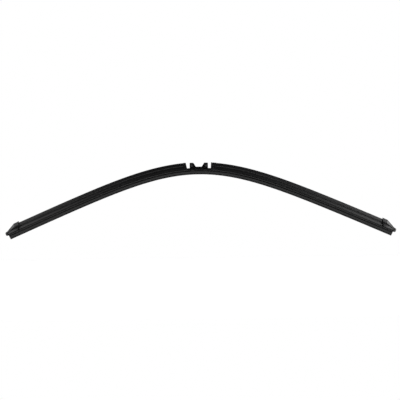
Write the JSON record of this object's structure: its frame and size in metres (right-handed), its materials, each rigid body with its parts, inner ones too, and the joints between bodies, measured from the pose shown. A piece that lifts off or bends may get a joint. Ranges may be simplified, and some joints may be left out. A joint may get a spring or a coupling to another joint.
{
  "type": "wiper blade",
  "caption": "Flat windscreen wiper blade, bowed as it lies free: a rubber squeegee on spring rails under a hollow spoiler, with end caps and a folded steel bracket for the arm's adapter.",
  "frame": {"origin": "middle of the bracket's saddle, on its flat top face, where the arm's adapter sits", "axes": "+X along the blade, +Y across it, +Z away from the glass"},
  "size_m": [0.5815, 0.0154, 0.1127],
  "materials": {
    "squeegee_rubber": "matt, slightly graphited",
    "rail_steel": "thin black coat, satin",
    "bracket_steel": "black coat, satin",
    "pin_steel": "black oxide, satin",
    "spoiler_rubber": "extruded, satin",
    "moulded_plastic": "moulded, fine grain"
  },
  "bodies": {
    "root": {"wiper_rubber": "squeegee_rubber", "rail_front": "rail_steel", "rail_rear": "rail_steel", "mount_bracket": "bracket_steel", "pin_left": "pin_steel", "pin_right": "pin_steel", "spoiler_left": "spoiler_rubber", "spoiler_right": "spoiler_rubber", "spoiler_end_left": "moulded_plastic", "spoiler_end_right": "moulded_plastic", "end_cap_left": "moulded_plastic", "end_cap_right": "moulded_plastic"}
  },
  "joints": []
}
